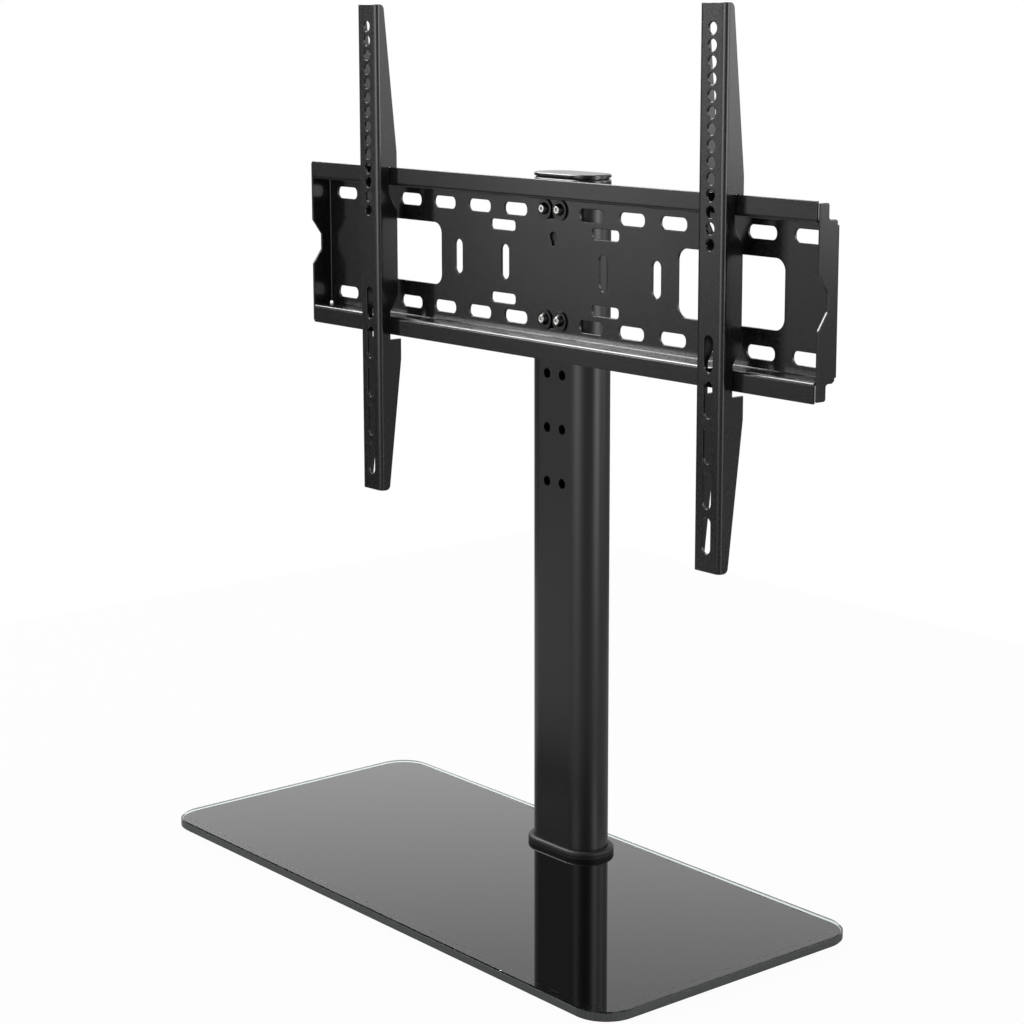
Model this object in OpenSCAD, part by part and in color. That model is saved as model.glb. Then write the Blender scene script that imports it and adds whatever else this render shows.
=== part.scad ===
// Table stand with a screen mount: a glass base on rubber feet, an extruded pillar,
// a folded wall plate bolted to it and two hooked arms that slide along the plate.
// Frame: X to the right seen from the screen side, Y towards the back, Z up.
// Origin: the middle of the base, on the surface that the feet rest on.

/* [Glass base] */
// Width of the glass
glass_w = 610; // [560:5:700]
// Depth of the glass
glass_d = 280; // [260:5:340]
// Thickness of the glass
glass_t = 8; // [6:1:12]
// Radius of the glass's corners in plan
glass_corner_r = 30; // [20:1:40]
// Width of the ground arris along the glass's edges
glass_arris = 1; // [0.5:0.1:2]

/* [Feet] */
// Radius of a rubber foot
foot_r = 15; // [10:1:20]
// Height of a rubber foot
foot_h = 6; // [6:0.5:10]
// Bevel round the lower edge of a foot
foot_bevel = 1.5; // [0.5:0.1:2.5]
// Distance from the edge of the glass to the nearest point of a foot
foot_inset = 20; // [12:1:40]

/* [Clamp under the glass] */
// Width of the steel clamp plate
under_w = 130; // [100:5:160]
// Depth of the steel clamp plate
under_d = 60; // [50:2:70]
// Thickness of the steel clamp plate
under_t = 3; // [2.5:0.5:4]
// Corner radius of the steel clamp plate
under_corner_r = 8; // [4:1:15]
// Thickness of the soft gaskets on each side of the glass
gasket_t = 1; // [0.5:0.1:1.2]
// Wall of the nylon bushes in the glass's holes
bush_wall = 1.8; // [1:0.1:2.5]
// Head radius of the countersunk base screws
base_head_r = 6; // [5.5:0.1:6.5]
// Length of the base screws inside the pillar
base_grip = 20; // [12:1:40]

/* [Pillar] */
// Width of the pillar across its round ends
pillar_w = 80; // [76:1:90]
// Depth of the pillar
pillar_d = 40; // [38:1:44]
// Length of the pillar
pillar_len = 594; // [450:1:700]
// Wall of the pillar
pillar_wall = 2.5; // [2:0.1:3]
// Distance from the back edge of the glass to the back of the pillar
pillar_back = 27; // [15:1:60]
// Distance of the screw ports beyond the middles of the pillar's round ends, across
port_out = 4; // [3:0.1:5]
// Distance from the pillar's outer face to the middle of a screw port
port_in = 7; // [6.5:0.1:8]
// Wall round a screw port
port_wall = 2.4; // [1.8:0.1:2.8]
// Thickness of the ribs that hold the nut plates
rail_rib_t = 2; // [1.5:0.1:2.5]
// Thickness and reach of the ribs' lips behind the nut plates
rail_lip_w = 2; // [1.5:0.1:3]
// Spacing of the two columns of holes in the pillar
bolt_spacing = 19.8; // [19:0.1:21]
// Pitch of the rows of holes in the pillar
hole_pitch = 47.5; // [46:0.1:48]
// Radius of the holes in the pillar's front
pillar_hole_r = 4.4; // [3.3:0.1:4.5]
// Number of rows of holes in the pillar
hole_rows = 6; // [3:1:9]
// Distance from the pillar's top to its first row of holes
hole_drop = 22.6; // [20:0.1:60]

// Row of holes for the plate's upper bolts, counted from 0 at the top
upper_row = 0; // [0:1:3]
// Rows of holes from the plate's upper bolts down to its lower ones
rows_apart = 2; // [2:1:2]

/* [Collar and cap] */
// Width of the collar round the pillar's foot
collar_w = 5; // [3:0.5:8]
// Height of the collar
collar_h = 6.5; // [4:0.5:10]
// Rounding along the collar's outer top edge
collar_round = 3; // [1:0.5:3]
// Height of the cap's lower ring, which continues the pillar
cap_ring_h = 3.5; // [3:0.1:6]
// Height of the shadow gap between the cap's ring and plate
cap_neck_h = 1; // [0.5:0.1:1.5]
// Inset of the shadow gap between the cap's ring and plate
cap_neck_in = 1.8; // [0.5:0.1:2.5]
// Thickness of the cap's plate
cap_t = 2.8; // [2.5:0.1:4]
// Rounding along the top edge of the cap's ring
cap_ring_round = 2.2; // [0.4:0.1:2.6]
// Rounding along the top edge of the cap's plate
cap_round = 1; // [0.4:0.1:1.4]
// Depth of the cap's plug inside the pillar
plug_h = 10; // [6:1:12]
// Wall of the cap's plug
plug_wall = 2; // [1.5:0.1:3]

/* [Wall plate] */
// Length of the wall plate over its end flanges
plate_len = 660; // [600:5:720]
// Height of the lips above and below the ledges
lip_h = 14.6; // [12:0.1:18]
// Distance from the long rows of slots to the inside of the ledges
slot_edge = 7.3; // [5.5:0.1:8]
// Depth of the channel from the web's front to the lip's front
channel_d = 21.3; // [20:0.1:24]
// Thickness of the folded sheet
sheet_t = 2; // [1.5:0.1:2]
// Inside radius of the folds
bend_r = 0.8; // [0.5:0.1:0.8]
// Gap between the ends of the lips and the end flanges
lip_gap = 1; // [0.3:0.1:2]
// Radius of the relief holes where three folds meet
relief_r = 1.3; // [1.2:0.1:2.5]
// Depth of the full-height front part of an end flange
tab_d = 9.2; // [8:0.1:14]
// Distance from the lips' edges to the upper and lower ends of the end flanges
tab_drop = 1.5; // [0.5:0.1:3]
// Bevel of an end flange's corners at the folds
flange_chamfer = 3; // [2:0.1:4]
// Depth of the notch in an end flange
flange_notch_d = 9.8; // [6:0.1:12]
// Height of the mouth of the notch in an end flange
flange_notch_mouth = 42; // [30:1:50]
// Height of the floor of the notch in an end flange
flange_notch_floor = 14; // [12:0.5:25]

/* [Wall plate holes] */
// Length of the fixing slots in the two long rows
slot_len = 31; // [26:0.5:34]
// Height of the fixing slots
slot_h = 10.9; // [10:0.1:13]
// Straight stretch left at the round ends of a fixing slot
slot_flat = 1.3; // [0.5:0.1:4]
// Distance that the rows of slots stand inside the rows of bolts
row_in = 0.45; // [0.1:0.05:0.8]
// Pitch of the fixing slots along a row
slot_pitch = 50; // [45:0.5:51]
// Number of fixing slots on each side of the middle one
side_slots = 6; // [3:1:6]
// Length of the four inner slots
inner_len = 34; // [28:0.5:36]
// Height of the four inner slots
inner_h = 9.1; // [8:0.1:11]
// Straight stretch left at the round ends of an inner slot
inner_flat = 2.7; // [0.5:0.1:5]
// Distance of the inner slots from the middle, across
inner_x = 67.3; // [60:0.1:75]
// Distance of the inner slots from the middle, up and down
inner_z = 32.2; // [31.5:0.1:33]
// Width of the upright slots
tall_w = 10.8; // [6:0.1:12]
// Height of the upright slots
tall_h = 31; // [25:0.1:36]
// Distance of the inner upright slots from the middle
tall_x = 64.6; // [55:0.1:75]
// Distance of the outer upright slots from the middle
tall_out_x = 130; // [120:0.5:134]
// Width of the two windows
window_w = 120; // [100:1:130]
// Height of the two windows
window_h = 56.3; // [45:0.1:60]
// Corner radius of the windows
window_r = 10; // [5:0.5:15]
// Distance of the windows' middles from the plate's middle
window_x = 215.1; // [210:0.1:225]
// Radius of the hanging hole's head
key_r = 4.2; // [4:0.1:6]
// Half width of the hanging hole's neck
key_neck_r = 1.9; // [1.5:0.1:2.5]
// Height of the hanging hole's head above the plate's middle
key_z = 26.1; // [20:0.1:28]
// Length of the hanging hole's neck
key_len = 2; // [1:0.5:8]

/* [Bolts] */
// Shank radius of the base screws
bolt_r = 3; // [2.8:0.1:3]
// Shank radius of the plate bolts
plate_bolt_r = 2.5; // [2.3:0.1:2.8]
// Head radius of the plate bolts
bolt_head_r = 5.25; // [5:0.05:5.5]
// Head height of the plate bolts
bolt_head_h = 3.6; // [3:0.1:3.8]
// Height of the straight rim of a plate bolt's head
bolt_rim_h = 0.6; // [0.3:0.1:1]
// Radius of the flat on top of a plate bolt's head
bolt_flat_r = 3.1; // [2.6:0.1:3.6]
// Length of the plate bolts under the head
bolt_len = 16; // [14:1:25]
// Width across flats of the plate bolts' hexagon sockets
bolt_hex_af = 3; // [2.5:0.5:4]
// Width across flats of the base screws' hexagon sockets
base_hex_af = 4; // [3.5:0.5:4]
// Depth of the hexagon sockets
hex_h = 1.8; // [1.2:0.1:2.2]
// Radius of the washers
washer_r = 8.7; // [8:0.1:8.7]
// Thickness of the washers
washer_t = 1.6; // [1:0.1:2]
// How far the washers hang below the bolts' middles
washer_drop = 0.6; // [0.1:0.1:1]
// Width of a nut plate inside the pillar
nut_plate_w = 30; // [28:0.5:31]
// Height of a nut plate inside the pillar
nut_plate_h = 22; // [16:1:24]
// Thickness of a nut plate inside the pillar
nut_plate_t = 5; // [4:0.5:5]

/* [Arms] */
// Length of an arm
arm_len = 443.6; // [436:0.1:460]
// Width of an arm
arm_w = 29.5; // [26:0.5:32]
// Thickness of an arm's sheet
arm_t = 2; // [1.5:0.1:2.2]
// Inside radius of an arm's folds
arm_bend_r = 2; // [0.5:0.1:3]
// Distance from the front of the lips to the front of the arms
arm_stand = 13.1; // [12:0.1:15]
// Distance from the plate's left end to the left arm's middle
left_arm_in = 111.1; // [30:0.1:300]
// Distance from the plate's right end to the right arm's middle
right_arm_in = 102.9; // [30:0.1:300]
// Depth of an arm's sides at its top end
arm_top_d = 8.7; // [8:0.1:12]
// Depth of an arm's sides at its bottom end
arm_low_d = 10.2; // [8:0.1:12]
// Depth of an arm's sides inside the channel
arm_mid_d = 21.4; // [20:0.1:23]
// Depth of an arm's sides just under the lower lip
arm_shelf_d = 24.3; // [22:0.1:26]
// Corner radius at an arm's ends
arm_corner_r = 4.5; // [3:0.1:6]
// Height above the plate's middle at which an arm's upper taper begins
taper_top_z = 90; // [85:1:140]
// Depth below the plate's middle at which an arm's lower taper begins
taper_low_z = 100; // [92:1:130]
// Length of the hook behind the upper lip
hook_h = 7; // [4:0.5:9]
// Thickness of the hook behind the upper lip
hook_t = 5.4; // [3:0.1:5.5]
// Height above the plate's middle of the upper slope's front end
slope_top_z = 53; // [50:0.5:56]
// Height above the plate's middle of the upper slope's back end
slope_top_back_z = 37; // [30:0.5:44]
// Depth below the plate's middle of the lower slope's back end
slope_low_back_z = 41; // [30:0.5:44]
// Depth below the plate's middle of the lower slope's front end
slope_low_z = 56; // [50:0.5:58]
// Gap between the lower lip and the ledge of the arm below it
shelf_gap = 4.8; // [3:0.1:8]

/* [Arm holes] */
// Radius of the round holes and half width of the slots in an arm
arm_hole_r = 4.8; // [4:0.1:5]
// Pitch of the round holes in an arm
arm_hole_pitch = 12.7; // [12:0.1:13]
// Number of round holes in an arm
arm_holes = 14; // [4:1:14]
// Distance from an arm's top end to its first round hole
arm_hole_drop = 19.2; // [12:0.1:20]
// Length of the slots in an arm
arm_slot_len = 29.6; // [20:0.1:30]
// Pitch of the slots in an arm
arm_slot_pitch = 36.2; // [35.5:0.1:37]
// Number of slots in an arm
arm_slots = 5; // [2:1:5]
// Distance from an arm's bottom end to the middle of its last slot
arm_slot_rise = 29.4; // [24:0.1:32]

/* [Clearances] */
// Clearance all round a piece that slides in or on another
fit_gap = 0.3; // [0.2:0.05:0.4]
// Clearance round a thread and behind a nut plate
thread_gap = 0.05; // [0.03:0.01:0.1]
// Height left between an upper plate bolt and the upper edge of its slot
hang_gap = 0.1; // [0.1:0.05:0.5]

/* [Hidden] */
$fn = 64;

// How far a cut runs past the faces it goes through
over = 1;

// Heights of the seats, from the floor up
glass_z = foot_h;
glass_top = glass_z + glass_t;
pillar_z = glass_top + gasket_t;
pillar_top = pillar_z + pillar_len;
under_z = glass_z - gasket_t - under_t;

// Middle of the pillar, front to back, and the planes that follow from it
pillar_y = glass_d/2 - pillar_back - pillar_d/2;
web_back_y = pillar_y - pillar_d/2;
web_y = web_back_y - sheet_t;
lip_y = web_y - channel_d;
arm_y = lip_y - arm_stand;
nut_plate_y = pillar_y - pillar_d/2 + pillar_wall + thread_gap;

// Heights of the plate's bolts
upper_bolt_z = pillar_top - hole_drop - upper_row*hole_pitch;
lower_bolt_z = upper_bolt_z - rows_apart*hole_pitch;

// The slot rows follow the two rows of bolts, and the plate hangs on the upper bolts
slot_row_z = (upper_bolt_z - lower_bolt_z)/2 - row_in;
plate_z = upper_bolt_z + plate_bolt_r + hang_gap - slot_h/2 - slot_row_z;
slot_r = (slot_h - slot_flat)/2;
inner_r = (inner_h - inner_flat)/2;
channel_h = 2*(slot_row_z + slot_h/2 + slot_edge + sheet_t);
plate_h = channel_h + 2*lip_h;

// Screw ports of the pillar
port_bore_r = bolt_r + thread_gap;
port_r = port_bore_r + port_wall;
bush_r = bolt_r + fit_gap + bush_wall;

// Channel behind the pillar's front wall that holds the nut plates
rail_rib_x = nut_plate_w/2 + fit_gap;
rail_rib_d = nut_plate_t + 2*thread_gap;

// Middles of the screw ports: beside the nut plates' ribs and inside the pillar's round ends
end_x = (pillar_w - pillar_d)/2;
port_x = max(end_x + port_out, rail_rib_x + rail_rib_t + port_r + fit_gap);
port_reach = pillar_d/2 - port_in;
port_y = sqrt(port_reach*port_reach - (port_x - end_x)*(port_x - end_x));

// Wall plate: half sizes of its flat stretches
bend_out = bend_r + sheet_t;
ledge_in = channel_h/2 - sheet_t;
web_flat_z = ledge_in - bend_r;
flange_in = plate_len/2 - sheet_t;
web_flat_x = flange_in - bend_r;
lip_half = flange_in - lip_gap;
flange_front = channel_d - sheet_t + bend_r;
tab_end = plate_h/2 - tab_drop;
tab_corner_r = sheet_t;
step_r = sheet_t + relief_r/2;

// Arm outline: planes at its notches, as depths behind its front and heights from the plate's middle
arm_bend_out = arm_bend_r + arm_t;
notch_d = arm_stand - 3*fit_gap;
rest_z = plate_h/2 + fit_gap;
hook_d = arm_mid_d - hook_t;
shelf_z = -plate_h/2 - shelf_gap;

// Rounded rectangle, true arcs at its corners
module rounded_rect(w, h, r) {
  square([w - 2*r, h], center = true);
  square([w, h - 2*r], center = true);
  for (sx = [-1, 1], sy = [-1, 1])
    translate([sx*(w/2 - r), sy*(h/2 - r)])
      circle(r);
}

// Rectangle with fully round ends along X
module obround(w, h) {
  square([w - h, h], center = true);
  for (s = [-1, 1])
    translate([s*(w - h)/2, 0])
      circle(h/2);
}

// Upright rectangle with fully round ends
module tall_obround(w, h) {
  rotate(90)
    obround(h, w);
}

// Quarter of a ring in the quadrant that sx and sy name
module quarter_ring(r_in, r_out, sx, sy) {
  intersection() {
    difference() {
      circle(r_out);
      circle(r_in);
    }
    translate([min(sx, 0)*r_out, min(sy, 0)*r_out])
      square(r_out);
  }
}

// Carries a half profile (x outwards, y up) round a race track with straight sides of the given length
module round_track(straight) {
  for (s = [-1, 1]) {
    translate([s*straight/2, 0, 0])
      rotate([0, 0, -90*s])
        rotate_extrude(angle = 180, $fn = 96)
          children();
    rotate([0, 0, 90 - 90*s])
      translate([-straight/2, 0, 0])
        rotate([90, 0, 90])
          linear_extrude(straight)
            children();
  }
}

// Places something at each screw port: side sx, front or back sy
module at_port(sx, sy) {
  translate([sx*port_x, pillar_y + sy*port_y, 0])
    children();
}

// Lays a drawing of X and Z upright, extruded towards +Y
module upright(depth) {
  translate([0, depth, 0])
    rotate([90, 0, 0])
      linear_extrude(depth)
        children();
}

module glass_edge_profile(r) {
  polygon([
    [0, 0], [r - glass_arris, 0], [r, glass_arris],
    [r, glass_t - glass_arris], [r - glass_arris, glass_t], [0, glass_t]]);
}

module glass_base() {
  inner_w = glass_w - 2*glass_corner_r;
  inner_d = glass_d - 2*glass_corner_r;
  color([0.05, 0.05, 0.06])
    translate([0, 0, glass_z])
      difference() {
        union() {
          translate([-inner_w/2, -inner_d/2, 0])
            cube([inner_w, inner_d, glass_t]);
          for (s = [-1, 1]) {
            rotate([0, 0, 90 - 90*s])
              translate([-inner_w/2, inner_d/2, 0])
                rotate([90, 0, 90])
                  linear_extrude(inner_w)
                    glass_edge_profile(glass_corner_r);
            rotate([0, 0, -90*s])
              translate([-inner_d/2, inner_w/2, 0])
                rotate([90, 0, 90])
                  linear_extrude(inner_d)
                    glass_edge_profile(glass_corner_r);
          }
          for (q = [[1, 1, 0], [-1, 1, 90], [-1, -1, 180], [1, -1, 270]])
            translate([q[0]*inner_w/2, q[1]*inner_d/2, 0])
              rotate([0, 0, q[2]])
                rotate_extrude(angle = 90, $fn = 96)
                  glass_edge_profile(glass_corner_r);
        }
        for (sx = [-1, 1], sy = [-1, 1])
          at_port(sx, sy)
            translate([0, 0, -over])
              cylinder(r = bush_r + thread_gap, h = glass_t + 2*over);
      }
}

module foot(sx, sy) {
  color([0.1, 0.1, 0.1])
    translate([sx*(glass_w/2 - foot_inset - foot_r), sy*(glass_d/2 - foot_inset - foot_r), 0])
      rotate_extrude()
        polygon([[0, 0], [foot_r - foot_bevel, 0], [foot_r, foot_bevel], [foot_r, foot_h], [0, foot_h]]);
}

module foot_front_left() { foot(-1, -1); }
module foot_front_right() { foot(1, -1); }
module foot_rear_left() { foot(-1, 1); }
module foot_rear_right() { foot(1, 1); }

module under_plate() {
  color([0.2, 0.2, 0.21])
    difference() {
      translate([0, pillar_y, under_z])
        linear_extrude(under_t)
          rounded_rect(under_w, under_d, under_corner_r);
      for (sx = [-1, 1], sy = [-1, 1])
        at_port(sx, sy) {
          translate([0, 0, under_z - over])
            cylinder(r = bolt_r + fit_gap, h = under_t + 2*over);
          translate([0, 0, under_z])
            cylinder(r1 = base_head_r + fit_gap, r2 = bolt_r + fit_gap, h = base_head_r - bolt_r);
        }
    }
}

module under_gasket() {
  color([0.12, 0.12, 0.12])
    translate([0, 0, glass_z - gasket_t])
      difference() {
        translate([0, pillar_y, 0])
          linear_extrude(gasket_t)
            rounded_rect(under_w, under_d, under_corner_r);
        for (sx = [-1, 1], sy = [-1, 1])
          at_port(sx, sy)
            translate([0, 0, -over])
              cylinder(r = bolt_r + fit_gap, h = gasket_t + 2*over);
      }
}

module glass_bush(sx, sy) {
  color([0.8, 0.8, 0.78])
    at_port(sx, sy)
      translate([0, 0, glass_z])
        difference() {
          cylinder(r = bush_r, h = glass_t);
          translate([0, 0, -over])
            cylinder(r = bolt_r + fit_gap, h = glass_t + 2*over);
        }
}

module glass_bush_front_left() { glass_bush(-1, -1); }
module glass_bush_front_right() { glass_bush(1, -1); }
module glass_bush_rear_left() { glass_bush(-1, 1); }
module glass_bush_rear_right() { glass_bush(1, 1); }

module base_screw(sx, sy) {
  color([0.45, 0.45, 0.47])
    at_port(sx, sy)
      translate([0, 0, under_z])
        difference() {
          union() {
            cylinder(r1 = base_head_r, r2 = bolt_r, h = base_head_r - bolt_r);
            cylinder(r = bolt_r, h = pillar_z + base_grip - under_z);
          }
          translate([0, 0, -over])
            cylinder(r = base_hex_af/2/cos(30), h = hex_h + over, $fn = 6);
        }
}

module base_screw_front_left() { base_screw(-1, -1); }
module base_screw_front_right() { base_screw(1, -1); }
module base_screw_rear_left() { base_screw(-1, 1); }
module base_screw_rear_right() { base_screw(1, 1); }

module pillar_gasket() {
  color([0.12, 0.12, 0.12])
    translate([0, 0, glass_top])
      difference() {
        translate([0, pillar_y, 0])
          linear_extrude(gasket_t)
            obround(pillar_w, pillar_d);
        for (sx = [-1, 1], sy = [-1, 1])
          at_port(sx, sy)
            translate([0, 0, -over])
              cylinder(r = bolt_r + fit_gap, h = gasket_t + 2*over);
      }
}

module pillar_section() {
  difference() {
    union() {
      difference() {
        obround(pillar_w, pillar_d);
        obround(pillar_w - 2*pillar_wall, pillar_d - 2*pillar_wall);
      }
      for (sx = [-1, 1], sy = [-1, 1])
        translate([sx*port_x, sy*port_y])
          circle(port_r);
      for (s = [-1, 1]) {
        translate([s*(rail_rib_x + rail_rib_t/2), (pillar_wall + rail_rib_d + rail_lip_w - pillar_d)/2])
          square([rail_rib_t, pillar_wall + rail_rib_d + rail_lip_w], center = true);
        translate([
          s*(rail_rib_x + (rail_rib_t - rail_lip_w)/2),
          pillar_wall + rail_rib_d + (rail_lip_w - pillar_d)/2])
          square([rail_rib_t + rail_lip_w, rail_lip_w], center = true);
      }
    }
    for (sx = [-1, 1], sy = [-1, 1])
      translate([sx*port_x, sy*port_y])
        circle(port_bore_r);
  }
}

module pillar() {
  color([0.14, 0.14, 0.15])
    difference() {
      translate([0, pillar_y, pillar_z])
        linear_extrude(pillar_len)
          pillar_section();
      for (row = [0:hole_rows - 1], s = [-1, 1])
        translate([s*bolt_spacing/2, web_back_y - over, pillar_top - hole_drop - row*hole_pitch])
          rotate([-90, 0, 0])
            cylinder(r = pillar_hole_r, h = pillar_wall + 2*over);
    }
}

module collar_profile() {
  translate([pillar_d/2 + fit_gap, 0]) {
    square([collar_w - collar_round, collar_h]);
    square([collar_w, collar_h - collar_round]);
    translate([collar_w - collar_round, collar_h - collar_round])
      intersection() {
        circle(collar_round);
        square(collar_round);
      }
  }
}

module collar() {
  color([0.1, 0.1, 0.11])
    translate([0, pillar_y, glass_top])
      round_track(pillar_w - pillar_d)
        collar_profile();
}

module cap_profile(h, edge_r) {
  r = pillar_d/2;
  square([r - edge_r, h]);
  square([r, h - edge_r]);
  translate([r - edge_r, h - edge_r])
    intersection() {
      circle(edge_r);
      square(edge_r);
    }
}

module pillar_cap() {
  plug_w = pillar_w - 2*pillar_wall - fit_gap;
  plug_d = pillar_d - 2*pillar_wall - fit_gap;
  color([0.1, 0.1, 0.11])
    translate([0, pillar_y, pillar_top]) {
      round_track(pillar_w - pillar_d)
        cap_profile(cap_ring_h, cap_ring_round);
      translate([0, 0, cap_ring_h])
        linear_extrude(cap_neck_h)
          obround(pillar_w - 2*cap_neck_in, pillar_d - 2*cap_neck_in);
      translate([0, 0, cap_ring_h + cap_neck_h])
        round_track(pillar_w - pillar_d)
          cap_profile(cap_t, cap_round);
      translate([0, 0, -plug_h])
        linear_extrude(plug_h)
          difference() {
            obround(plug_w, plug_d);
            obround(plug_w - 2*plug_wall, plug_d - 2*plug_wall);
            for (sx = [-1, 1], sy = [-1, 1])
              translate([sx*port_x, sy*port_y])
                circle(port_r + fit_gap);
            translate([-rail_rib_x - rail_rib_t - fit_gap, -plug_d/2])
              square([2*(rail_rib_x + rail_rib_t + fit_gap), plug_wall + fit_gap]);
          }
    }
}

module nut_plate(z) {
  color([0.5, 0.5, 0.52])
    difference() {
      translate([-nut_plate_w/2, nut_plate_y, z - nut_plate_h/2])
        cube([nut_plate_w, nut_plate_t, nut_plate_h]);
      for (s = [-1, 1])
        translate([s*bolt_spacing/2, nut_plate_y - over, z])
          rotate([-90, 0, 0])
            cylinder(r = plate_bolt_r + thread_gap, h = nut_plate_t + 2*over);
    }
}

module upper_nut_plate() { nut_plate(upper_bolt_z); }
module lower_nut_plate() { nut_plate(lower_bolt_z); }

// Folded section of the wall plate above its middle: x is the depth, y the height
module hat_half() {
  square([sheet_t, web_flat_z]);
  translate([-bend_r, web_flat_z])
    quarter_ring(bend_r, bend_out, 1, 1);
  translate([bend_out - channel_d, ledge_in])
    square([channel_d - bend_out - bend_r, sheet_t]);
  translate([bend_out - channel_d, ledge_in + bend_out])
    quarter_ring(bend_r, bend_out, -1, -1);
  translate([-channel_d, ledge_in + bend_out])
    square([sheet_t, plate_h/2 - ledge_in - bend_out]);
}

// Outline of an end flange: x is the depth, y the height
module flange_outline() {
  difference() {
    union() {
      translate([-flange_front, -tab_end])
        square([tab_d - tab_corner_r, 2*tab_end]);
      translate([-flange_front, tab_corner_r - tab_end])
        square([tab_d, 2*(tab_end - tab_corner_r)]);
      for (s = [-1, 1])
        translate([tab_d - flange_front - tab_corner_r, s*(tab_end - tab_corner_r)])
          circle(tab_corner_r);
      translate([tab_d - flange_front - tab_corner_r, -channel_h/2])
        square([flange_front - bend_r - tab_d + tab_corner_r, channel_h]);
      for (s = [-1, 1])
        translate([tab_d - flange_front, s*(channel_h/2 + step_r/2)])
          square([2*step_r, step_r], center = true);
    }
    for (s = [-1, 1]) {
      translate([tab_d - flange_front + step_r, s*(channel_h/2 + step_r)])
        circle(step_r);
      polygon([
        [-bend_r - flange_chamfer, s*channel_h/2], [-bend_r, s*(channel_h/2 - flange_chamfer)],
        [over, s*(channel_h/2 - flange_chamfer)], [over, s*(channel_h/2 + over)],
        [-bend_r - flange_chamfer, s*(channel_h/2 + over)]]);
    }
    polygon([
      [-flange_front - over, -flange_notch_mouth/2], [-flange_front, -flange_notch_mouth/2],
      [flange_notch_d - flange_front, -flange_notch_floor/2],
      [flange_notch_d - flange_front, flange_notch_floor/2],
      [-flange_front, flange_notch_mouth/2], [-flange_front - over, flange_notch_mouth/2]]);
  }
}

module web_holes() {
  for (n = [-side_slots:side_slots], s = [-1, 1])
    translate([n*slot_pitch, s*slot_row_z])
      rounded_rect(slot_len, slot_h, slot_r);
  for (sx = [-1, 1]) {
    for (sz = [-1, 1])
      translate([sx*inner_x, sz*inner_z])
        rounded_rect(inner_len, inner_h, inner_r);
    for (x = [tall_x, tall_out_x])
      translate([sx*x, 0])
        tall_obround(tall_w, tall_h);
    translate([sx*window_x, 0])
      rounded_rect(window_w, window_h, window_r);
  }
  translate([0, key_z])
    circle(key_r);
  translate([0, key_z - key_r - key_len/2])
    tall_obround(2*key_neck_r, key_len + 2*key_neck_r);
}

module wall_plate() {
  color([0.16, 0.16, 0.17])
    translate([0, web_y, plate_z])
      difference() {
        union() {
          for (s = [-1, 1])
            mirror([0, 0, s < 0 ? 1 : 0])
              translate([-lip_half, 0, 0])
                rotate([90, 0, 90])
                  linear_extrude(2*lip_half)
                    hat_half();
          for (s = [-1, 1])
            mirror([s < 0 ? 1 : 0, 0, 0]) {
              translate([lip_half - sheet_t, 0, relief_r - web_flat_z])
                cube([web_flat_x - lip_half + sheet_t, sheet_t, 2*(web_flat_z - relief_r)]);
              translate([web_flat_x, -bend_r, relief_r - web_flat_z])
                linear_extrude(2*(web_flat_z - relief_r))
                  quarter_ring(bend_r, bend_out, 1, 1);
              translate([flange_in, 0, 0])
                rotate([90, 0, 90])
                  linear_extrude(sheet_t)
                    flange_outline();
            }
        }
        translate([0, -over, 0])
          upright(sheet_t + 2*over)
            web_holes();
        for (sx = [-1, 1], sz = [-1, 1])
          translate([sx*flange_in, -bend_r, sz*web_flat_z]) {
            rotate([-90, 0, 0])
              cylinder(r = relief_r, h = bend_out + over);
            rotate([0, 90, 0])
              cylinder(r = relief_r, h = 2*(sheet_t + over), center = true);
          }
      }
}

module washer(sx, z) {
  color([0.3, 0.3, 0.31])
    translate([sx*bolt_spacing/2, web_y, z - washer_drop])
      rotate([90, 0, 0])
        difference() {
          cylinder(r = washer_r, h = washer_t);
          translate([0, 0, -over])
            cylinder(r = plate_bolt_r + washer_drop + fit_gap, h = washer_t + 2*over);
        }
}

module washer_upper_left() { washer(-1, upper_bolt_z); }
module washer_upper_right() { washer(1, upper_bolt_z); }
module washer_lower_left() { washer(-1, lower_bolt_z); }
module washer_lower_right() { washer(1, lower_bolt_z); }

// Half profile of a plate bolt's head: a straight rim, then a dome cut off flat at the top
module bolt_head_profile() {
  squares = bolt_flat_r*bolt_flat_r + bolt_head_h*bolt_head_h - bolt_head_r*bolt_head_r - bolt_rim_h*bolt_rim_h;
  dome_z = squares/(2*(bolt_head_h - bolt_rim_h));
  dome_r = sqrt(bolt_head_r*bolt_head_r + (bolt_rim_h - dome_z)*(bolt_rim_h - dome_z));
  intersection() {
    square([bolt_head_r, bolt_head_h]);
    translate([0, dome_z])
      circle(dome_r);
  }
}

module plate_bolt(sx, z) {
  color([0.4, 0.4, 0.42])
    translate([sx*bolt_spacing/2, web_y - washer_t, z])
      rotate([90, 0, 0])
        difference() {
          union() {
            rotate_extrude()
              bolt_head_profile();
            translate([0, 0, -bolt_len])
              cylinder(r = plate_bolt_r, h = bolt_len);
          }
          translate([0, 0, bolt_head_h - hex_h])
            cylinder(r = bolt_hex_af/2/cos(30), h = hex_h + over, $fn = 6);
        }
}

module plate_bolt_upper_left() { plate_bolt(-1, upper_bolt_z); }
module plate_bolt_upper_right() { plate_bolt(1, upper_bolt_z); }
module plate_bolt_lower_left() { plate_bolt(-1, lower_bolt_z); }
module plate_bolt_lower_right() { plate_bolt(1, lower_bolt_z); }

// Rectangle across the origin with its two front corners rounded
module front_rounded(w, d, r) {
  translate([-w/2, r])
    square([w, d - r]);
  translate([r - w/2, 0])
    square([w - 2*r, d]);
  for (s = [-1, 1])
    translate([s*(w/2 - r), r])
      circle(r);
}

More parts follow.
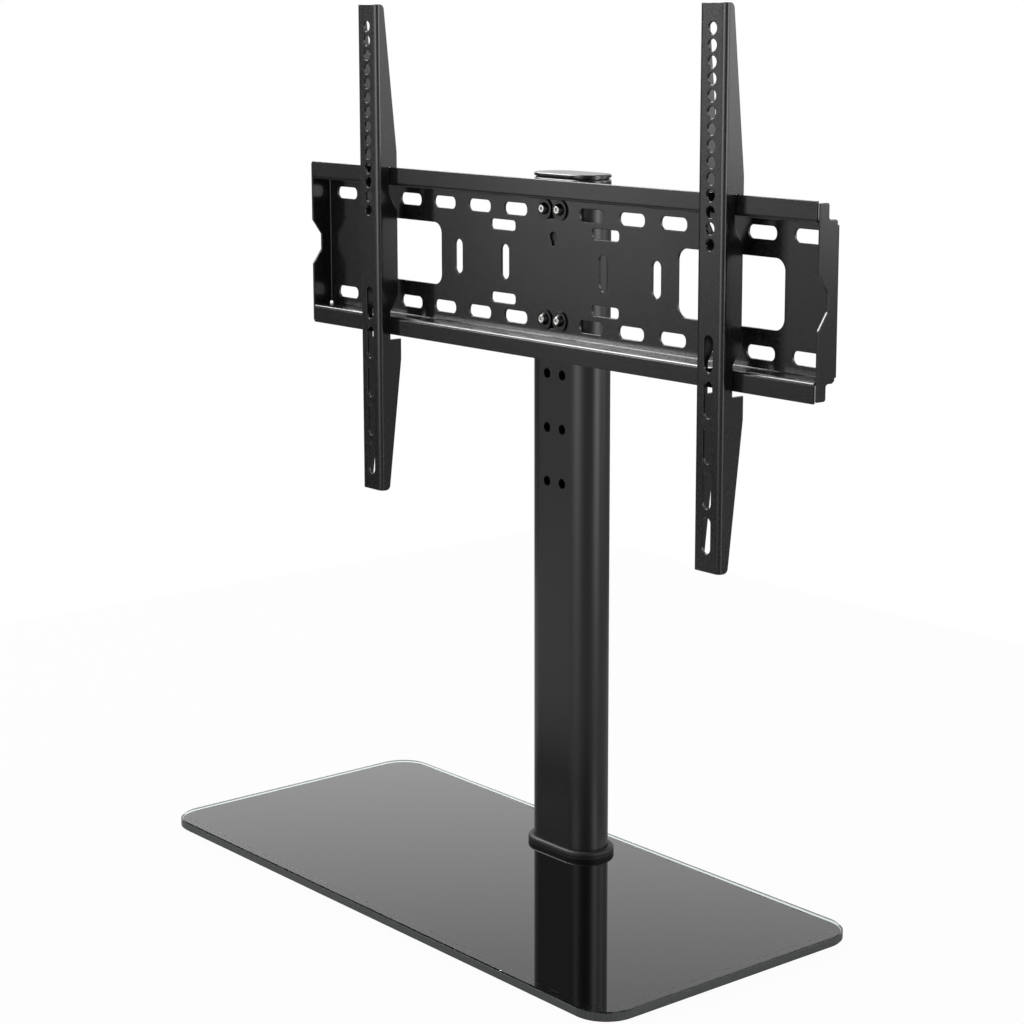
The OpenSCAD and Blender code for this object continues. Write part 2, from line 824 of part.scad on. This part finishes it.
// Folded section of an arm: x across it, y its depth
module arm_section() {
  difference() {
    front_rounded(arm_w, arm_shelf_d, arm_bend_out);
    translate([0, arm_t])
      front_rounded(arm_w - 2*arm_t, arm_shelf_d, arm_bend_r);
  }
}

// What a rounded corner takes off the square corner at (r, r)
module corner_waste(r) {
  difference() {
    square(r + over);
    circle(r);
  }
}

// Outline of an arm's sides: x is the depth behind the arm's front, y the height
module arm_outline() {
  top = arm_len/2;
  difference() {
    polygon([
      [0, top], [arm_top_d, top], [arm_top_d, top - arm_corner_r],
      [arm_mid_d, taper_top_z], [arm_mid_d, rest_z - hook_h], [hook_d, rest_z - hook_h],
      [hook_d, rest_z], [notch_d, rest_z], [notch_d, slope_top_z],
      [arm_mid_d, slope_top_back_z], [arm_mid_d, -slope_low_back_z],
      [notch_d, -slope_low_z], [notch_d, shelf_z], [arm_shelf_d, shelf_z],
      [arm_shelf_d, -taper_low_z], [arm_low_d, arm_corner_r - top],
      [arm_low_d, -top], [0, -top]]);
    translate([arm_top_d - arm_corner_r, top - arm_corner_r])
      corner_waste(arm_corner_r);
    translate([arm_low_d - arm_corner_r, arm_corner_r - top])
      mirror([0, 1])
        corner_waste(arm_corner_r);
  }
}

module arm(x) {
  translate([x, arm_y, plate_z])
    difference() {
      intersection() {
        translate([0, 0, -arm_len/2])
          linear_extrude(arm_len)
            arm_section();
        translate([-arm_w/2 - over, 0, 0])
          rotate([90, 0, 90])
            linear_extrude(arm_w + 2*over)
              arm_outline();
      }
      for (n = [0:arm_holes - 1])
        translate([0, -over, arm_len/2 - arm_hole_drop - n*arm_hole_pitch])
          rotate([-90, 0, 0])
            cylinder(r = arm_hole_r, h = arm_t + 2*over);
      for (n = [0:arm_slots - 1])
        translate([0, -over, n*arm_slot_pitch + arm_slot_rise - arm_len/2])
          upright(arm_t + 2*over)
            tall_obround(2*arm_hole_r, arm_slot_len);
    }
}

module left_arm() {
  color([0.17, 0.17, 0.18])
    arm(left_arm_in - plate_len/2);
}

module right_arm() {
  color([0.17, 0.17, 0.18])
    arm(plate_len/2 - right_arm_in);
}

glass_base();
foot_front_left();
foot_front_right();
foot_rear_left();
foot_rear_right();
under_plate();
under_gasket();
glass_bush_front_left();
glass_bush_front_right();
glass_bush_rear_left();
glass_bush_rear_right();
base_screw_front_left();
base_screw_front_right();
base_screw_rear_left();
base_screw_rear_right();
pillar_gasket();
pillar();
collar();
pillar_cap();
upper_nut_plate();
lower_nut_plate();
wall_plate();
washer_upper_left();
washer_upper_right();
washer_lower_left();
washer_lower_right();
plate_bolt_upper_left();
plate_bolt_upper_right();
plate_bolt_lower_left();
plate_bolt_lower_right();
left_arm();
right_arm();
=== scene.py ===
import bpy
import bmesh
import math
from mathutils import Euler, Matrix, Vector


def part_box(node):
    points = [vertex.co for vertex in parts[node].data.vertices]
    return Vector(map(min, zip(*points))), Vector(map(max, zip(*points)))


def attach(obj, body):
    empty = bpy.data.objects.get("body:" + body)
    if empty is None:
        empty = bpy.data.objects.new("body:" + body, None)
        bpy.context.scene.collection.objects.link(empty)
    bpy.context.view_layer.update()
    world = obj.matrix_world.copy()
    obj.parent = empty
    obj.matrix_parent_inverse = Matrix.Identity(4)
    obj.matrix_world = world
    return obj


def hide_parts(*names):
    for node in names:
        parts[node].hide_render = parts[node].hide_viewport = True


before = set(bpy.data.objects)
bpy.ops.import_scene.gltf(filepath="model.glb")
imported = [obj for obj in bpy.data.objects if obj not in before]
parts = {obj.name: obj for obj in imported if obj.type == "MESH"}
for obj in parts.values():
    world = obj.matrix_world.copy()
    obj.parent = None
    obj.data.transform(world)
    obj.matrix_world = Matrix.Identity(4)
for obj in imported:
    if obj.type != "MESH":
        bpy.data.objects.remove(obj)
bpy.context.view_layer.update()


# Camera
# A long lens in front on the right, level with the arms' tops and looking a little down, as the photograph
# was taken. The shift is what is left of the photograph's own framing.
look_down = 10.42
look_from = 49.99
camera_data = bpy.data.cameras.new("camera")
camera_data.sensor_width = 36
camera_data.lens = 84.464
camera_data.shift_x = -0.02223
camera_data.shift_y = -0.0527
camera = bpy.data.objects.new("camera", camera_data)
camera.location = (1.5614, -1.25995, 0.74788)
camera.rotation_euler = Euler((math.radians(90 - look_down), 0, math.radians(look_from)))
bpy.context.scene.collection.objects.link(camera)
bpy.context.scene.camera = camera
bpy.context.scene.view_settings.view_transform = "Standard"


# Rubber feet
# Four soft black pads stuck under the glass, moulded with a rounded rim round a field of small grip studs.
# One half profile is turned round its axis, and the studs are set in rows across its sunk underside.
class Number:
    """A number socket that adds and multiplies like a Python number."""

    def __init__(self, tree, socket):
        self.tree = tree
        self.socket = socket

    def maths(self, operation, first, second=None, clamp=False):
        made = self.tree.nodes.new("ShaderNodeMath")
        made.operation = operation
        made.use_clamp = clamp
        for place, value in enumerate((first, second)):
            if isinstance(value, Number):
                self.tree.links.new(value.socket, made.inputs[place])
            elif value is not None:
                made.inputs[place].default_value = value
        return Number(self.tree, made.outputs[0])

    def __add__(self, other):
        return self.maths("ADD", self, other)

    def __radd__(self, other):
        return self.maths("ADD", other, self)

    def __sub__(self, other):
        return self.maths("SUBTRACT", self, other)

    def __rsub__(self, other):
        return self.maths("SUBTRACT", other, self)

    def __mul__(self, other):
        return self.maths("MULTIPLY", self, other)

    def __rmul__(self, other):
        return self.maths("MULTIPLY", other, self)

    def __truediv__(self, other):
        return self.maths("DIVIDE", self, other)

    def __pow__(self, other):
        return self.maths("POWER", self, other)

    def clamped(self):
        return self.maths("ADD", self, 0.0, clamp=True)


class Wiring:
    """A node tree being wired: one method makes any node, given its settings and what its sockets take."""

    def __init__(self, tree):
        self.tree = tree
        self.tree.nodes.clear()

    def node(self, kind, settings=None, sockets=None):
        made = self.tree.nodes.new(kind)
        for name, value in (settings or {}).items():
            setattr(made, name, value)
        for name, value in (sockets or {}).items():
            if isinstance(value, Number):
                value = value.socket
            if isinstance(value, bpy.types.NodeSocket):
                self.tree.links.new(value, made.inputs[name])
            else:
                made.inputs[name].default_value = value
        return made

    def number(self, kind, output, settings=None, sockets=None):
        return Number(self.tree, self.node(kind, settings, sockets).outputs[output])

    def axes(self, direction):
        """The X, Y and Z of a vector socket, as three numbers."""
        split = self.node("ShaderNodeSeparateXYZ", sockets={"Vector": direction})
        return [Number(self.tree, split.outputs[axis]) for axis in "XYZ"]

    def seen_directly(self):
        """1 where a ray comes straight from the camera or through glass, and 0 for any other ray."""
        path = self.node("ShaderNodeLightPath").outputs
        through_glass = Number(self.tree, path["Is Transmission Ray"])
        return (Number(self.tree, path["Is Camera Ray"]) + through_glass).clamped()


class Finish(Wiring):
    """A material whose patterns lie on the piece's own coordinates."""

    def __init__(self, name):
        self.material = bpy.data.materials.new(name)
        self.material.use_nodes = True
        super().__init__(self.material.node_tree)
        self.place = self.node("ShaderNodeTexCoord").outputs["Object"]

    def noise(self, scale, detail=2.0, roughness=0.5, place=None):
        return self.number("ShaderNodeTexNoise", "Fac", sockets={
            "Vector": place or self.place, "Scale": scale, "Detail": detail, "Roughness": roughness})

    def tone(self, amount, dark, light):
        """A colour between dark and light, by amount."""
        mixed = self.node("ShaderNodeMix", {"data_type": "RGBA"}, {
            "Factor": amount, "A": (*dark, 1), "B": (*light, 1)})
        return mixed.outputs["Result"]

    def bump(self, height, strength, distance, base=None):
        sockets = {"Height": height, "Strength": strength, "Distance": distance}
        if base:
            sockets["Normal"] = base
        return self.node("ShaderNodeBump", sockets=sockets).outputs["Normal"]

    def worn_edges(self, radius):
        """A normal that rounds sharp edges a little, as paint and tumbling do."""
        return self.node("ShaderNodeBevel", {"samples": 6}, {"Radius": radius}).outputs["Normal"]

    def gloss(self, **sockets):
        """A Principled shader, its sockets named with _ for a space."""
        named = {name.replace("_", " "): value for name, value in sockets.items()}
        return self.node("ShaderNodeBsdfPrincipled", sockets=named).outputs["BSDF"]

    def mixed(self, share, first, second):
        """The first shader where share is 0 and the second where it is 1."""
        return self.node("ShaderNodeMixShader", sockets={0: share, 1: first, 2: second}).outputs["Shader"]

    def ends_in(self, shader):
        self.node("ShaderNodeOutputMaterial", sockets={"Surface": shader})
        return self.material

    def surface(self, **sockets):
        """Ends the tree in one Principled shader."""
        return self.ends_in(self.gloss(**sockets))


rubber = Finish("black_rubber")
rubber_cloud = rubber.noise(160, 3)
rubber_pores = rubber.noise(2600, 2)
rubber_material = rubber.surface(
    Base_Color=rubber.tone(rubber_cloud, (0.012, 0.012, 0.012), (0.022, 0.021, 0.02)),
    Roughness=0.78 + 0.1*rubber_pores,
    Normal=rubber.bump(rubber_pores, 0.35, 0.00005))

corners = ("front_left", "front_right", "rear_left", "rear_right")
foot_low, foot_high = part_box("foot_front_left")
foot_radius = (foot_high.x - foot_low.x)/2
field_depth = 0.0007
field_radius = foot_radius - 0.0028
rim_foot_radius = foot_radius - 0.0022
rim_foot_lift = 0.0002
rim_rounding = 0.0014
top_edge_break = 0.0004
stud_field_radius = foot_radius - 0.0034


def turned(name, profile, centre, steps):
    """A closed round body: the half profile's (radius, height) points turned round a vertical axis."""
    mesh = bmesh.new()
    rings = []
    for radius, height in profile:
        if radius == 0:
            rings.append([mesh.verts.new((centre.x, centre.y, height))])
            continue
        ring = []
        for step in range(steps):
            angle = 2*math.pi*step/steps
            ring.append(mesh.verts.new((
                centre.x + radius*math.cos(angle), centre.y + radius*math.sin(angle), height)))
        rings.append(ring)
    for low, high in zip(rings, rings[1:]):
        for step in range(steps):
            after = (step + 1) % steps
            if len(low) == 1:
                mesh.faces.new((low[0], high[after], high[step]))
            elif len(high) == 1:
                mesh.faces.new((low[step], low[after], high[0]))
            else:
                mesh.faces.new((low[step], low[after], high[after], high[step]))
    bmesh.ops.recalc_face_normals(mesh, faces=mesh.faces)
    for face in mesh.faces:
        face.smooth = True
    data = bpy.data.meshes.new(name)
    mesh.to_mesh(data)
    mesh.free()
    made = bpy.data.objects.new(name, data)
    bpy.context.scene.collection.objects.link(made)
    return made


def rounded_rim(radius, low, high, edge, steps=5):
    """Points of a rim that is rounded at the bottom, from its foot to its top edge."""
    points = []
    for step in range(steps + 1):
        angle = math.pi/2*step/steps
        points.append((radius - edge + edge*math.sin(angle), low + edge - edge*math.cos(angle)))
    points.append((radius, high))
    return points


stud_inputs = (
    ("Field radius", "NodeSocketFloat", stud_field_radius),
    ("Stud pitch", "NodeSocketFloat", 0.0028),
    ("Stud radius", "NodeSocketFloat", 0.0009),
    ("Stud height", "NodeSocketFloat", 0.0007),
    ("Seed", "NodeSocketInt", 7),
    ("Material", "NodeSocketMaterial", rubber_material))
studs = Wiring(bpy.data.node_groups.new("grip_studs", "GeometryNodeTree"))
studs.tree.interface.new_socket("Geometry", in_out="INPUT", socket_type="NodeSocketGeometry")
stud_sockets = {}
for label, kind, value in stud_inputs:
    made_socket = studs.tree.interface.new_socket(label, in_out="INPUT", socket_type=kind)
    stud_sockets[label] = made_socket.identifier
studs.tree.interface.new_socket("Geometry", in_out="OUTPUT", socket_type="NodeSocketGeometry")
given = studs.node("NodeGroupInput").outputs
field = Number(studs.tree, given["Field radius"])
rows = field*2/Number(studs.tree, given["Stud pitch"])
grid = studs.node("GeometryNodeMeshGrid", sockets={
    "Size X": field*2, "Size Y": field*2, "Vertices X": rows, "Vertices Y": rows}).outputs["Mesh"]
spot = studs.node("GeometryNodeInputPosition").outputs["Position"]
from_middle = studs.number("ShaderNodeVectorMath", "Value", {"operation": "LENGTH"}, {0: spot})
outside = from_middle.maths("GREATER_THAN", from_middle, field)
inside = studs.node("GeometryNodeDeleteGeometry", sockets={
    "Geometry": grid, "Selection": outside}).outputs["Geometry"]
ball = studs.node("GeometryNodeMeshUVSphere", sockets={
    "Segments": 12, "Rings": 8, "Radius": given["Stud radius"]}).outputs["Mesh"]
flat = Number(studs.tree, given["Stud height"])/Number(studs.tree, given["Stud radius"])
uneven = studs.number("FunctionNodeRandomValue", "Value", {"data_type": "FLOAT"}, {
    "Min": 0.92, "Max": 1.0, "Seed": given["Seed"]})
stud_size = studs.node("ShaderNodeCombineXYZ", sockets={
    "X": uneven, "Y": uneven, "Z": uneven*flat}).outputs["Vector"]
placed = studs.node("GeometryNodeInstanceOnPoints", sockets={
    "Points": inside, "Instance": ball, "Scale": stud_size}).outputs["Instances"]
real = studs.node("GeometryNodeRealizeInstances", sockets={"Geometry": placed}).outputs["Geometry"]
painted = studs.node("GeometryNodeSetMaterial", sockets={
    "Geometry": real, "Material": given["Material"]}).outputs["Geometry"]
studs.node("NodeGroupOutput", sockets={"Geometry": painted})

for corner in corners:
    low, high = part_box("foot_" + corner)
    middle = (low + high)/2
    sunk = low.z + field_depth
    profile = [(0, sunk), (field_radius, sunk), (rim_foot_radius, low.z + rim_foot_lift)]
    profile += rounded_rim(foot_radius, low.z, high.z - top_edge_break, rim_rounding)
    profile += [(foot_radius - top_edge_break, high.z), (0, high.z)]
    pad = turned("pad_" + corner, profile, middle, 72)
    pad.data.materials.append(rubber_material)
    base = bpy.data.objects.new("studs", bpy.data.meshes.new("studs"))
    bpy.context.scene.collection.objects.link(base)
    setting = base.modifiers.new("studs", "NODES")
    setting.node_group = studs.tree
    for label, kind, value in stud_inputs:
        setting[stud_sockets[label]] = value
    grown = bpy.data.meshes.new_from_object(base.evaluated_get(bpy.context.evaluated_depsgraph_get()))
    base.modifiers.remove(setting)
    whole = bmesh.new()
    whole.from_mesh(grown)
    bmesh.ops.translate(whole, vec=(middle.x, middle.y, sunk), verts=whole.verts)
    for face in whole.faces:
        face.smooth = True
    whole.from_mesh(pad.data)
    whole.to_mesh(pad.data)
    whole.free()
    bpy.data.objects.remove(base)
    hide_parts("foot_" + corner)
    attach(pad, "stand")


# Gaskets
# Soft black sheets, one under the glass and one between the glass and the pillar.
# They are cut flat, so only their edges show, as matt lines.
def dress(material, *pieces):
    """Gives CAD pieces their finish."""
    for piece in pieces:
        parts[piece].data.materials.clear()
        parts[piece].data.materials.append(material)


dress(rubber_material, "under_gasket", "pillar_gasket")


# Glass base
# A slab of tempered glass with a ground edge, painted black on its underside. The paint stops a little
# short of the edge, so a pale rim runs round the slab. Well inside the rim the top is a plain black mirror.
paint = Finish("black_paint_under_glass")
paint_cloud = paint.noise(9, 2)
paint_material = paint.surface(
    Base_Color=paint.tone(paint_cloud, (0.0022, 0.0023, 0.0025), (0.003, 0.003, 0.0032)),
    Roughness=0.06 + 0.02*paint_cloud, Specular_IOR_Level=0.0)

glass_low, glass_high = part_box("glass_base")
slab_corner = 0.030
paint_inset = 0.0016
paint_corner = slab_corner - paint_inset
mirror_corner = paint_corner - 0.0065
# A point this near to the side face or the top face counts as lying on it.
near_side = 0.00015
near_top = 0.0004
across = glass_high.x - paint_inset - paint_corner
deep = glass_high.y - paint_inset - paint_corner

glass = Finish("black_glass")
glass_x, glass_y, glass_z = glass.axes(glass.place)
past_x = glass_x.maths("MAXIMUM", glass_x.maths("ABSOLUTE", glass_x) - across, 0.0)
past_y = glass_y.maths("MAXIMUM", glass_y.maths("ABSOLUTE", glass_y) - deep, 0.0)
from_corner = (past_x*past_x + past_y*past_y)**0.5
well_inside = ((mirror_corner - from_corner)/0.0002).clamped()
on_side = ((from_corner - (slab_corner - near_side))/0.0001).clamped()
on_top = ((glass_z - (glass_high.z - near_top))/0.0002).clamped()
from_outside = 1 - glass.number("ShaderNodeNewGeometry", "Backfacing")
clear = glass.gloss(Base_Color=(0.82, 0.93, 0.88, 1), Roughness=0.0, IOR=1.5, Transmission_Weight=1.0)
mirror = glass.gloss(
    Base_Color=glass.tone(glass.noise(9), (0.0006, 0.0006, 0.0007), (0.001, 0.001, 0.0011)),
    Roughness=0.0, IOR=1.5)
ground_cloud = glass.noise(500, 3)
ground = glass.gloss(
    Base_Color=glass.tone(ground_cloud, (0.03, 0.034, 0.032), (0.05, 0.056, 0.053)),
    Roughness=0.3 + 0.1*ground_cloud, IOR=1.5)
polished = glass.mixed(well_inside*on_top*from_outside, clear, mirror)
dress(glass.ends_in(glass.mixed(on_side*from_outside, polished, ground)), "glass_base")

paint_gap = 0.00004
paint_thickness = 0.00006
corner_steps = 16
paint_mesh = bmesh.new()
paint_outline = []
for side_x, side_y, first_angle in ((1, 1, 0), (-1, 1, 90), (-1, -1, 180), (1, -1, 270)):
    for step in range(corner_steps + 1):
        angle = math.radians(first_angle + 90*step/corner_steps)
        paint_outline.append(paint_mesh.verts.new((
            across*side_x + paint_corner*math.cos(angle),
            deep*side_y + paint_corner*math.sin(angle),
            glass_low.z + paint_gap)))
paint_face = paint_mesh.faces.new(paint_outline)
solid_paint = bmesh.ops.extrude_face_region(paint_mesh, geom=[paint_face])
for item in solid_paint["geom"]:
    if isinstance(item, bmesh.types.BMVert):
        item.co.z += paint_thickness
bmesh.ops.recalc_face_normals(paint_mesh, faces=paint_mesh.faces)
paint_data = bpy.data.meshes.new("glass_paint")
paint_mesh.to_mesh(paint_data)
paint_mesh.free()
glass_paint = bpy.data.objects.new("glass_paint", paint_data)
bpy.context.scene.collection.objects.link(glass_paint)
glass_paint.data.materials.append(paint_material)
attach(glass_paint, "stand")


# Clamp under the glass
# A powder-coated steel plate with four countersunk zinc screws that pull the pillar down on the glass.
# Nylon bushes keep the screws off the glass. The coat is finely pebbled and its sheen drifts a little.
coat = Finish("black_powder_coat")
drift = coat.noise(14, 3)
pebble = coat.noise(700, 3, 0.6)
speck = coat.noise(1820, 2, 0.5)
powder_material = coat.surface(
    Base_Color=coat.tone((pebble*4 - 1.6).clamped(), (0.0015, 0.0015, 0.0017), (0.013, 0.013, 0.0138)),
    Roughness=0.1 + 0.06*drift + 0.08*speck,
    IOR=1.5,
    Normal=coat.bump(pebble + 0.4*speck, 0.24, 0.00009, coat.worn_edges(0.001)))
dress(powder_material, "under_plate")

zinc = Finish("zinc_plate")
zinc_cloud = zinc.noise(300, 3)
zinc_material = zinc.surface(
    Base_Color=zinc.tone(zinc_cloud, (0.42, 0.43, 0.46), (0.6, 0.61, 0.62)),
    Metallic=1.0, Roughness=0.26 + 0.16*zinc_cloud,
    Normal=zinc.bump(zinc_cloud, 0.15, 0.00003))
nylon = Finish("white_nylon")
nylon_cloud = nylon.noise(220, 2)
nylon_material = nylon.surface(
    Base_Color=nylon.tone(nylon_cloud, (0.68, 0.67, 0.62), (0.76, 0.75, 0.71)),
    Roughness=0.42 + 0.1*nylon_cloud, Subsurface_Weight=0.1)
for corner in corners:
    dress(zinc_material, "base_screw_" + corner)
    dress(nylon_material, "glass_bush_" + corner)


# Pillar
# An oval aluminium extrusion, satin black. The die has left faint lines along it, and its two rows of
# holes are drilled, so their edges are crisp.
extrusion = Finish("black_extrusion")
along = extrusion.node("ShaderNodeMapping", {"vector_type": "POINT"}, {
    "Vector": extrusion.place, "Scale": (1, 1, 0.004)}).outputs["Vector"]
die_lines = extrusion.noise(1400, 2, 0.5, along)
skin = extrusion.noise(2200, 2)
cloud = extrusion.noise(6, 2)
dress(extrusion.surface(
    Base_Color=extrusion.tone(cloud, (0.005, 0.005, 0.0053), (0.007, 0.007, 0.0073)),
    Roughness=0.25 + 0.05*cloud + 0.04*skin,
    IOR=1.5,
    Normal=extrusion.bump(0.6*die_lines + 0.5*skin, 0.16, 0.00003)), "pillar")


# Collar and cap
# Moulded black plastic: a duller trim ring round the pillar's foot and a smooth cap on top.
# The ring lies on the glass, and the cap's plug sits in the pillar's open end.
plastic = Finish("black_plastic")
plastic_skin = plastic.noise(1900, 2)
plastic_cloud = plastic.noise(40, 2)
dress(plastic.surface(
    Base_Color=plastic.tone(plastic_cloud, (0.005, 0.005, 0.0053), (0.0075, 0.0075, 0.0078)),
    Roughness=0.15 + 0.06*plastic_cloud,
    IOR=1.5,
    Normal=plastic.bump(plastic_skin, 0.12, 0.00003)), "pillar_cap")

trim = Finish("black_trim")
trim_skin = trim.noise(1500, 3)
dress(trim.surface(
    Base_Color=trim.tone(trim_skin, (0.0045, 0.0045, 0.0048), (0.0075, 0.0075, 0.0078)),
    Roughness=0.42 + 0.08*trim_skin, Specular_IOR_Level=0.2,
    Normal=trim.bump(trim_skin, 0.15, 0.00004)), "collar")


# Nut plates
# Two drilled zinc bars in a channel behind the pillar's front wall. The plate's bolts screw into them,
# and they slide along the channel when the plate is set at another height.
dress(zinc_material, "upper_nut_plate", "lower_nut_plate")


# Wall plate
# One 2 mm steel sheet, punched and folded into a shallow channel with two lips and two end flanges,
# with a black powder coat over its edges too.
dress(powder_material, "wall_plate")


# Plate bolts and washers
# Button-head bolts with hexagon sockets on wide washers, in dark oxidised steel.
# The flat ring round each socket has a lighter, smoother base colour: a painted highlight.
steel = Finish("dark_steel")
steel_cloud = steel.noise(420, 3)
steel_material = steel.surface(
    Base_Color=steel.tone(steel_cloud, (0.035, 0.035, 0.036), (0.075, 0.074, 0.072)),
    Metallic=1.0, Roughness=0.2 + 0.1*steel_cloud,
    Normal=steel.bump(steel_cloud, 0.2, 0.00003, steel.worn_edges(0.0002)))

low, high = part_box("plate_bolt_upper_right")
upper_bolt = (low + high)/2
low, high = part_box("plate_bolt_lower_right")
lower_bolt = (low + high)/2
# Radius of the painted highlight ring round each socket.
highlight_ring_radius = 0.0034
bolt_steel = Finish("bolt_steel")
bolt_cloud = bolt_steel.noise(500, 3)
spot_x, _, spot_z = bolt_steel.axes(bolt_steel.place)
aside = spot_x.maths("ABSOLUTE", spot_x) - upper_bolt.x
from_rows = spot_z - (upper_bolt.z + lower_bolt.z)/2
above = from_rows.maths("ABSOLUTE", from_rows) - (upper_bolt.z - lower_bolt.z)/2
from_axis = (aside*aside + above*above)**0.5
# Painted highlight: 1 on the flat ring round each socket, where the steel is made lighter and smoother.
painted_highlight_ring = ((highlight_ring_radius - from_axis)/0.0005).clamped()
bolt_material = bolt_steel.surface(
    Base_Color=bolt_steel.tone(painted_highlight_ring*(0.75 + 0.35*bolt_cloud), (0.06, 0.058, 0.056), (0.85, 0.84, 0.82)),
    Metallic=1.0, Roughness=0.24 + 0.08*bolt_cloud - 0.06*painted_highlight_ring,
    Normal=bolt_steel.bump(bolt_cloud, 0.15, 0.00002, bolt_steel.worn_edges(0.0003)))
for place in ("upper_left", "upper_right", "lower_left", "lower_right"):
    dress(steel_material, "washer_" + place)
    dress(bolt_material, "plate_bolt_" + place)


# Arms
# Two upright channels of 2 mm sheet with round holes above and slots below, hooked over the plate's lips.
# They have the plate's powder coat and slide along it.
dress(powder_material, "left_arm", "right_arm")


# Floor
# A pale studio floor that the camera sees as plain white, with a trace of the object's shadow.
# It isn't part of the object.
floor_x = 1.1
floor_y = 1
matt_share = 0.03
floor_data = bpy.data.meshes.new("floor")
floor_data.from_pydata([
    (-floor_x, -floor_y, 0), (floor_x, -floor_y, 0), (floor_x, floor_y, 0), (-floor_x, floor_y, 0)],
    [], [(0, 1, 2, 3)])
floor = bpy.data.objects.new("floor", floor_data)
bpy.context.scene.collection.objects.link(floor)
floor_paint = Finish("floor_paint")
floor_matt = floor_paint.node("ShaderNodeBsdfDiffuse", sockets={"Color": (0.16, 0.16, 0.16, 1)})
floor_white = floor_paint.node("ShaderNodeEmission", sockets={"Color": (1, 1, 1, 1), "Strength": 1.0})
white_share = floor_paint.seen_directly()*(1 - matt_share)
floor_mix = floor_paint.mixed(white_share, floor_matt.outputs["BSDF"], floor_white.outputs["Emission"])
floor.data.materials.append(floor_paint.ends_in(floor_mix))


# Studio
# Painted light by direction: a pale backdrop behind, soft screens behind on the right, on the right and in
# front, a narrow strip in front on the left, and dark towards the camera. Three soft lamps stand in it.
studio = bpy.data.worlds.new("studio")
bpy.context.scene.world = studio
studio.use_nodes = True
sky = Wiring(studio.node_tree)
way_x, way_y, way_z = sky.axes(sky.node("ShaderNodeTexCoord").outputs["Generated"])
degrees = 180/math.pi
turn = way_x.maths("ARCTAN2", way_x, way_y*(-1.0))*degrees
lift = way_z.maths("ARCSINE", way_z)*degrees


def screen(middle, spread):
    """How bright a soft upright screen is, from 1 at its middle turn down to 0."""
    share = (turn - middle)/spread
    return share.maths("POWER", math.e, share*share*(-1.0))


def rise(angle, low, high):
    """0 below the low angle and 1 above the high one, in a smooth curve."""
    share = ((angle - low)/(high - low)).clamped()
    return share*share*(3 - 2*share)


# Turn is in degrees from the front (0) by the right (90) to the back (180), and lift above the horizon.
towards_back = ((way_y*0.85 - way_x*0.53)*1.8 + 0.1).clamped()
backdrop = 0.15 + 0.35*rise(lift, -4, 0) + 1.15*rise(lift, 1, 14) - 1.05*rise(lift, 14, 28)
behind_right = screen(138, 14)*(0.35 + 3.6*rise(lift, -5.2, -3) - 0.3*rise(lift, -10, -8))
at_right = screen(99, 15)*(1.3 + 5.5*rise(lift, -12, -1))
in_front = screen(-2, 24)*(0.35 + 4.5*rise(lift, -13, -1)) + 0.3*screen(54, 28)
strip_width = rise(turn, -51.6, -49.4)*(1 - rise(turn, -48, -45.2))
strip_height = (0.05 + 2.6*rise(lift, -10.5, -1) + 24*rise(lift, 2.5, 6))*(1 - rise(lift, 9, 13))
front_left = strip_width*strip_height + 0.45*screen(-42, 5.5)*rise(lift, -14, -6)
glow = 0.05 + towards_back*backdrop + front_left + in_front*(1 - 0.9*rise(lift, 10, 25))
glow = glow + (behind_right + at_right)*(1 - 0.8*rise(lift, 25, 50))
seen = sky.seen_directly()
background = sky.node("ShaderNodeBackground", sockets={
    "Color": (1, 1, 1, 1), "Strength": seen + (1 - seen)*glow})
sky.node("ShaderNodeOutputWorld", sockets={"Surface": background.outputs["Background"]})


def softbox(name, at, width, height, radiance):
    """A rectangular lamp of even brightness, turned to the middle of the stand."""
    lamp_data = bpy.data.lights.new(name, "AREA")
    lamp_data.shape = "RECTANGLE"
    lamp_data.size = width
    lamp_data.size_y = height
    lamp_data.energy = radiance*math.pi*width*height
    lamp = bpy.data.objects.new(name, lamp_data)
    lamp.location = at
    lamp.rotation_euler = (Vector(at) - Vector((0, 0.05, 0.5))).to_track_quat("Z", "Y").to_euler()
    lamp.visible_camera = False
    bpy.context.scene.collection.objects.link(lamp)


softbox("left_lamp", (-1.7, -0.3, 2.4), 1.9, 1.6, 20)
softbox("front_lamp", (0.0, -2.4, 1.7), 0.35, 1.0, 6)
softbox("top_lamp", (0.1, 0.2, 2.6), 1.2, 0.8, 4)
